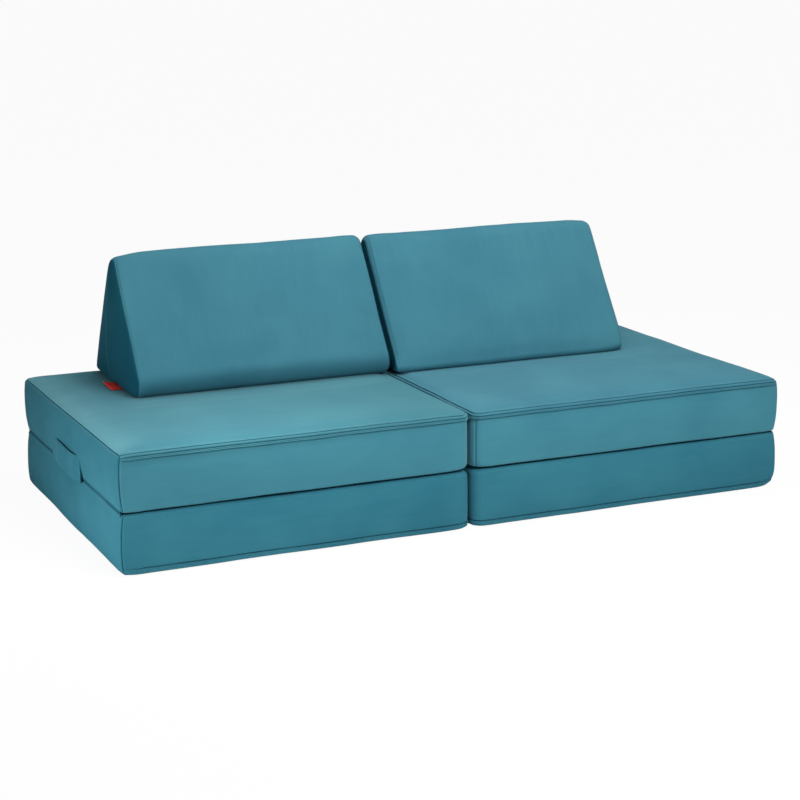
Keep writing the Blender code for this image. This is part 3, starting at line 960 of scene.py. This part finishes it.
def wedge_rings(unit):
    """Rings of a wedge's skin from one end to the other, with a seam groove round each end.

    An end's edges grow boxier towards the foot, because the cushion's weight is on it.
    """
    section, section_out, _ = sections[unit]
    high = np.clip(section[:, 1] / (wedge_foot_height * wedge_height), 0, 1)
    foot = wedge_foot_share + (1 - wedge_foot_share) * high
    half = wedge_length / 2 - wedge_end_crown
    rings, ends = [], []
    for angle in wedge_end_angles:
        turn = math.radians(angle)
        groove = wedge_end_groove * near(wedge_end_radius * math.radians(angle - seam_angle), seam_spread)
        inset = wedge_end_radius * (1 - math.sin(turn)) + groove * math.sin(turn)
        back = wedge_end_radius * (1 - math.cos(turn)) + groove * math.cos(turn)
        ends.append((half - back, inset))
    flat = half - wedge_end_radius
    levels = [(-x, inset) for x, inset in ends]
    levels += [(x, 0) for x in np.linspace(-flat, flat, wedge_rows)[1:-1]]
    levels += ends[::-1]
    for x, inset in levels:
        spot = section - section_out * (inset * foot)[:, None]
        rings.append(np.column_stack([np.full(len(spot), x), spot]))
    return rings


def wedge_field(places, wedge):
    """How a wedge's ideal skin gives way: faces crown, long edges draw in, ends belly out."""
    shift = np.zeros(places.shape)
    half = wedge_length / 2 - wedge_end_crown
    along = np.clip(np.abs(places[:, 0]) / half, 0, 1)
    middle = 1 - along**2
    depths = []
    for k in range(3):
        depth, share, out = wedge_face(k, places)
        depths.append(np.maximum(depth, 0))
        if k:
            lift = wedge_face_crown * arch(share) * middle * near(np.maximum(depth, 0), wedge_face_depth)
            shift[:, 1] += out.x * lift
            shift[:, 2] += out.y * lift
    for corner in (section_corners[0], section_corners[2]):
        gap = np.hypot(places[:, 1] - corner.x, places[:, 2] - corner.y)
        inward = section_middle - corner
        inward.normalize()
        draw = (-wedge_top_rise if corner.y else wedge_edge_draw) * middle * near(gap, wedge_edge_reach)
        shift[:, 1] += inward.x * draw
        shift[:, 2] += inward.y * draw
    room = np.clip(np.minimum.reduce(depths) / wedge_end_run, 0, 1)
    belly = wedge_end_crown * (1 - (1 - room) ** 2)
    shift[:, 0] += np.sign(places[:, 0]) * belly * near((1 - along) * half, 0.03)
    for end in (-1, 1):
        for corner in section_corners:
            spot = np.array([end * half, corner.x, corner.y])
            gap = np.linalg.norm(places - spot, axis=1)
            sideways = wedge_sideways["top" if corner.y else "foot"]
            inward = np.array([-end * sideways, *(section_middle - corner)])
            inward[1:] *= math.sqrt(1 - sideways**2) / np.linalg.norm(inward[1:])
            size, reach = (wedge_top_ends if corner.y else wedge_foot_ends)[wedge["unit"]][end]
            shift += inward * (size * near(gap, reach))[:, None]
    seed = wedge["seed"]
    shift += sum(ripple(places, length, high, seed + more) for length, high, more in wedge_ripples)
    shift += wedge["swell"](places)
    return shift


def wedge_world(places, wedge):
    """Places of a wedge's own frame, given way and set in the world. It stays off the seat."""
    moved = places + wedge_field(places, wedge)
    b = np.maximum(moved[:, 2], 0)
    return np.column_stack([moved[:, 0] + wedge["middle"], moved[:, 1] + wedge_front_y, b + wedge_under_z])


def wedge_held(places):
    """Where a wedge's cloth is held: along its seams and underneath."""
    half = wedge_length / 2 - wedge_end_crown
    gap_end = np.abs(half - np.abs(places[:, 0]))
    corners = [np.hypot(places[:, 1] - c.x, places[:, 2] - c.y) for c in section_corners]
    depths = [np.maximum(wedge_face(k, places)[0], 0) for k in range(3)]
    seam = np.minimum(np.hypot(gap_end, np.minimum.reduce(depths)), np.minimum.reduce(corners))
    weight = np.clip(1.6 - seam / cloth_seam_run, 0, 1)
    return np.where(places[:, 2] < 0.008, 1.0, weight)


def make_wedge(unit, wedge):
    """One wedge cushion: its cover and the flap over the zip low on its back."""
    body = f"{unit}_wedge"
    points, faces = closed_skin(wedge_rings(unit), section_starts)
    half = wedge_length / 2 - wedge_end_crown - wedge_end_radius * wedge_end_seam[unit]
    # faces at a wedge's ends take the near-navy velvet, which is partly painted shade
    shaded_end_faces = [int(all(abs(points[i][0]) > half for i in face)) for face in faces]
    skin = wedge_world(points, wedge), faces
    cover = dressed(f"{body}_velvet_cover", body, "microvelvet", skin, [velvet_wedge, velvet_across_painted_shade],
                  f"{body}_cover", pick=shaded_end_faces)

    back, top = section_corners[1], section_corners[2]
    up = (top - back).normalized()
    out = Vector((up.y, -up.x))

    def on_back(x, rise, stand):
        """A place on the back face, at a rise above its bottom edge."""
        return x, back.x + up.x * rise + out.x * stand, up.y * rise + out.y * stand

    sections, lines = [], [[], []]
    for step in range(121):
        x = -wedge_zip_half + 2 * wedge_zip_half * step / 120
        outer, inner = [], []
        for share in (-1, -0.8, -0.4, 0, 0.4, 0.8, 1):
            rise = wedge_zip_rise + wedge_flap_half * share
            stand = 0.0018 + 0.0008 * (1 - share**4) + 0.0003 * math.sin(x / 0.019)
            outer.append(on_back(x, rise, stand))
            inner.append(on_back(x, rise, 0.0004))
        sections.append(np.array(outer + inner[::-1]))
        for line, stand in zip(lines, (0.0022, 0.0032)):
            line.append(on_back(x, wedge_zip_rise + wedge_flap_half * 0.8, stand))
    points, faces = strip_skin(sections)
    skin = wedge_world(points, wedge), faces
    dressed(f"{body}_velvet_zip_flap", body, "microvelvet", skin, [velvet_wedge], f"{body}_zip_flap")
    low, high = (wedge_world(np.array(line), wedge) for line in lines)
    dressed(f"{body}_stitches", body, "microvelvet", stitches(low, high), [thread], sharp=180)

    outer_side = -1 if unit == "left" else 1
    end = outer_side * (wedge_length / 2 - wedge_end_crown)
    sections = []
    for share in np.linspace(0, 1, 70):
        a, b = 0.268 - 0.022 * share**1.5, 0.006 + 0.290 * share
        arc = []
        for turn in np.linspace(0, math.pi, 7):
            out_by = outer_side * (welt_radius * math.sin(turn) - 0.0006)
            arc.append((end + out_by, a + welt_radius * math.cos(turn), b))
        sections.append(wedge_world(np.array(arc), wedge))
    dressed(f"{body}_end_seam_welt", body, "microvelvet", strip_skin(sections), [velvet_wedge])


# Hinge strip, carry handle and side tag

def make_hinge(unit, slab_low, slab_high):
    """The fabric that joins the two slabs, with a groove at the fold.

    Its lower half follows the base and its upper half the seat. The narrow web at the groove's
    bottom joins them.
    """
    turn = slab_low["turn"]
    reach = mat_depth / 2 - hinge_margin
    outer = [(stand, fold_height + rise) for rise, stand in hinge_path]
    inner = [(min(stand, 0) - hinge_thickness, fold_height + rise) for rise, stand in hinge_path[::-1]]
    sections = []
    for step in range(hinge_steps + 1):
        v = -reach + 2 * reach * step / hinge_steps
        row = []
        for stand, z in outer + inner:
            slab = slab_low if z < fold_height else slab_high
            drop = (slab["rim"] - z) * slab["way"]
            pulled = slab_field(np.array([[0.0, v, drop]]), slab)[0][0]
            row.append((turn * (pulled - stand - outer_end), turn * v, z))
        sections.append(np.array(row))
    points, faces = strip_skin(sections)
    # the groove's faces take the near-black velvet: painted shade in the fold's crease
    pick = [int(number in hinge_groove_faces) for number in range(len(sections[0]))] * hinge_steps + [0, 0]
    strip = piece(f"{unit}_velvet_fold_hinge", points, faces, [velvet_end_painted_shade, velvet_painted_crease_shade], pick=pick)
    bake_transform(strip)
    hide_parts(f"{unit}_fold_hinge")


def make_handle(unit, slab):
    """The carry handle: a strap of two layers of velvet, sewn flat at both ends and bowed between."""
    turn = slab["turn"]
    low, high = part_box(f"{unit}_carry_handle")
    middle = (low.y + high.y) / 2 * turn
    half = (high.y - low.y) / 2
    z_middle = (low.z + high.z) / 2 - handle_lowering
    z_half = (high.z - low.z) / 2 + handle_lowering

    def on_strap(share, across, more):
        """A place along and across the strap, standing off its middle by more."""
        flat, run = handle_rise["front" if share < 0 else "back"]
        rise = np.clip(((1 - abs(share)) * half - flat) / run, 0, 1)
        bow = rise * rise * (3 - 2 * rise)
        stand = handle_stand + handle_bow * bow - handle_curl * bow * across * across + more
        z = z_middle + z_half * across + handle_wave * math.sin(share * 5.2)
        return turn * (-stand - outer_end + handle_sunk), turn * (middle + half * share), z

    sections, rows = [], [[], [], [], []]
    for step in range(handle_steps + 1):
        share = -1 + 2 * step / handle_steps
        section = []
        for corner in range(handle_corners):
            angle = 2 * math.pi * corner / handle_corners
            across = math.copysign(abs(math.cos(angle)) ** 0.35, math.cos(angle))
            deep = math.copysign(abs(math.sin(angle)) ** 0.8, math.sin(angle))
            section.append(on_strap(share, across, handle_thickness / 2 * deep))
        sections.append(np.array(section))
        for row, (across, more) in enumerate(((1, 0), (1, 0.001), (-1, 0), (-1, 0.001))):
            more += handle_thickness / 2 - 0.0002
            rows[row].append(on_strap(share, handle_stitch_share * across, more))
    dressed(f"{unit}_velvet_carry_handle", f"{unit}_seat", "microvelvet", strip_skin(sections), [velvet_end_painted_shade],
          f"{unit}_carry_handle")
    rows = [np.array(row) for row in rows]
    parts = [stitches(rows[0], rows[1]), stitches(rows[2], rows[3])]
    for side in (-1, 1):
        for share in handle_end_shares:
            y = turn * (middle + side * share * half)
            line = [(turn * (-0.0041 - outer_end + handle_sunk), y, z_middle + z_half * s)
                    for s in np.linspace(-0.84, 0.84, 12)]
            outer = [(x - turn * 0.001, y0, z) for x, y0, z in line]
            parts.append(stitches(np.array(line), np.array(outer)))
    dressed(f"{unit}_handle_stitches", f"{unit}_seat", "microvelvet", joined(parts), [thread], sharp=180)


def make_tag():
    """The side tag: a satin ribbon folded double, caught under the wedge's end and lying on the seat."""
    low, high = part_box("left_wedge_side_tag")
    sections = []
    for step in range(tag_steps + 1):
        share = step / tag_steps
        y = low.y + (high.y - low.y) * share
        skew = tag_skew * math.sin(share * 3.0)
        lift = tag_rest + tag_lift * share**1.5
        upper, lower = [], []
        for out in np.linspace(0, 1, 9):
            x = high.x - (high.x - low.x + skew) * out
            z = low.z + 0.0002 + lift * out * out
            upper.append((x, y, z + tag_thickness + tag_opening * math.sin(out * math.pi * 0.5)))
            lower.append((x, y, z))
        nose = (low.x - skew - 0.0006, y, low.z + 0.0006 + lift)
        sections.append(np.array(upper + [nose] + lower[::-1]))
    dressed("left_wedge_ribbon_tag", "left_wedge", "side_tag", strip_skin(sections), [ribbon],
          "left_wedge_side_tag")


# The sofa

def build_sofa():
    heights = {"seat": seat_rim - seat_fold, "base": base_fold}
    swells = {}
    for level, height in heights.items():
        skin = closed_skin(slab_rings(level, height, False), plan_starts)
        swells[level] = swelling(f"{level}_cloth", *skin, slab_held(height), slab_swelling)
    skin = closed_skin(wedge_rings("right"), section_starts)
    wedge_swell = swelling("wedge_cloth", *skin, wedge_held, wedge_swelling)
    for number, (unit, turn) in enumerate((("left", 1), ("right", -1))):
        slabs = {
            "seat": {"way": 1, "rim": seat_rim, "between": (seat_fold, seat_top + seat_crown_most),
                     "crown": seat_crown, "front_right_ease": corner_ease["hinge"]},
            "base": {"way": -1, "rim": 0.0, "between": (0.0, base_fold), "crown": 0.0,
                     "front_right_ease": base_front_right_ease[unit]},
        }
        for level, slab in slabs.items():
            seed = 1 + number * 10 + (5 if level == "base" else 0)
            slab.update(turn=turn, height=heights[level], swell=swells[level], seed=seed)
            make_slab(unit, level, slab)
        make_hinge(unit, slabs["base"], slabs["seat"])
        make_handle(unit, slabs["seat"])
        make_wedge(unit, {"unit": unit, "middle": wedge_middles[unit], "swell": wedge_swell,
                          "seed": 31 + number * 9})
    make_tag()


# Studio

def area_light(name, place, aim, size, power, spread):
    """A softbox at a place, turned to its aim. A grid narrows its spread from 180 degrees."""
    light = bpy.data.lights.new(name, "AREA")
    light.spread = math.radians(spread)
    light.shape = "RECTANGLE"
    light.size, light.size_y = size
    light.energy = power
    made = bpy.data.objects.new(name, light)
    made.location = place
    made.rotation_euler = (Vector(aim) - Vector(place)).to_track_quat("-Z", "Y").to_euler()
    made.visible_camera = False
    bpy.context.scene.collection.objects.link(made)


def seen_directly(tree):
    """1 for rays that come straight from the camera, from a mirror or through glass."""
    path = add(tree, "ShaderNodeLightPath")
    glossy = add(tree, "ShaderNodeMath", {0: path.outputs["Is Camera Ray"], 1: path.outputs["Is Glossy Ray"]},
                 operation="MAXIMUM")
    return add(tree, "ShaderNodeMath", {0: glossy.outputs[0], 1: path.outputs["Is Transmission Ray"]},
               operation="MAXIMUM").outputs[0]


def build_studio():
    scene = bpy.context.scene
    world = bpy.data.worlds.new("studio")
    scene.world = world
    world.use_nodes = True
    tree = world.node_tree
    tree.nodes.clear()
    air = add(tree, "ShaderNodeBackground", {"Color": "#F4F7F8", "Strength": 0.13}).outputs[0]
    white = add(tree, "ShaderNodeBackground", {"Color": "#FFFFFF", "Strength": 1.0}).outputs[0]
    mixed = add(tree, "ShaderNodeMixShader", {0: seen_directly(tree), 1: air, 2: white}).outputs[0]
    add(tree, "ShaderNodeOutputWorld", {0: mixed})

    paper = bpy.data.materials.new("studio_paper")
    paper.use_nodes = True
    tree = paper.node_tree
    tree.nodes.clear()
    fibre = add(tree, "ShaderNodeTexNoise", {"Scale": 900.0, "Detail": 2.0}).outputs[0]
    tone = between(tree, fibre, "#F3F3F2", "#F7F7F7")
    sheet = add(tree, "ShaderNodeBsdfDiffuse", {"Color": tone}).outputs[0]
    glow = add(tree, "ShaderNodeEmission", {"Color": "#FFFFFF", "Strength": 1.0}).outputs[0]
    share = add(tree, "ShaderNodeMath", {0: seen_directly(tree), 1: 0.95}, operation="MULTIPLY").outputs[0]
    mixed = add(tree, "ShaderNodeMixShader", {0: share, 1: sheet, 2: glow}).outputs[0]
    add(tree, "ShaderNodeOutputMaterial", {0: mixed})
    floor = [(x, y, -0.0005) for x, y in ((-300, -300), (300, -300), (300, 300), (-300, 300))]
    piece("studio_floor", floor, [(0, 1, 2, 3)], [paper])

    for name, place, aim, size, power, spread in (
        ("top_softbox", (0.25, -0.1, 3.1), (0, 0.0, 0.2), (2.8, 2.2), 60, 180),
        ("front_softbox", (0.2, -3.0, 3.0), (0, 0, 0.2), (1.6, 1.2), 60, 180),
        ("middle_softbox", (0.2, -1.6, 1.6), (0, -0.2, 0.2), (0.8, 0.6), 13, 180),
        ("left_top_softbox", (-0.60, -0.55, 1.50), (-0.62, -0.46, 0.28), (0.3, 0.3), 0.6, 46),
        ("left_end_softbox", (-3.60, -0.45, 0.36), (-0.87, -0.34, 0.08), (0.3, 0.3), 2.8, 38),
    ):
        area_light(name, place, aim, size, power, spread)

    camera = bpy.data.objects.new("camera", bpy.data.cameras.new("camera"))
    scene.collection.objects.link(camera)
    right = Vector((0.91248, -0.40907, -0.00736))
    up = Vector((0.10094, 0.20764, 0.97299))
    ahead = Vector((0.39649, 0.88856, -0.23076))
    place = Vector((-1.98054, -4.44945, 1.37844))
    camera.matrix_world = Matrix([
        (right.x, up.x, -ahead.x, place.x),
        (right.y, up.y, -ahead.y, place.y),
        (right.z, up.z, -ahead.z, place.z),
        (0, 0, 0, 1),
    ])
    camera.data.lens = 88.002
    camera.data.sensor_width = 36.0
    camera.data.clip_end = 1000.0
    scene.camera = camera
    scene.view_settings.view_transform = "Standard"


build_sofa()
build_studio()
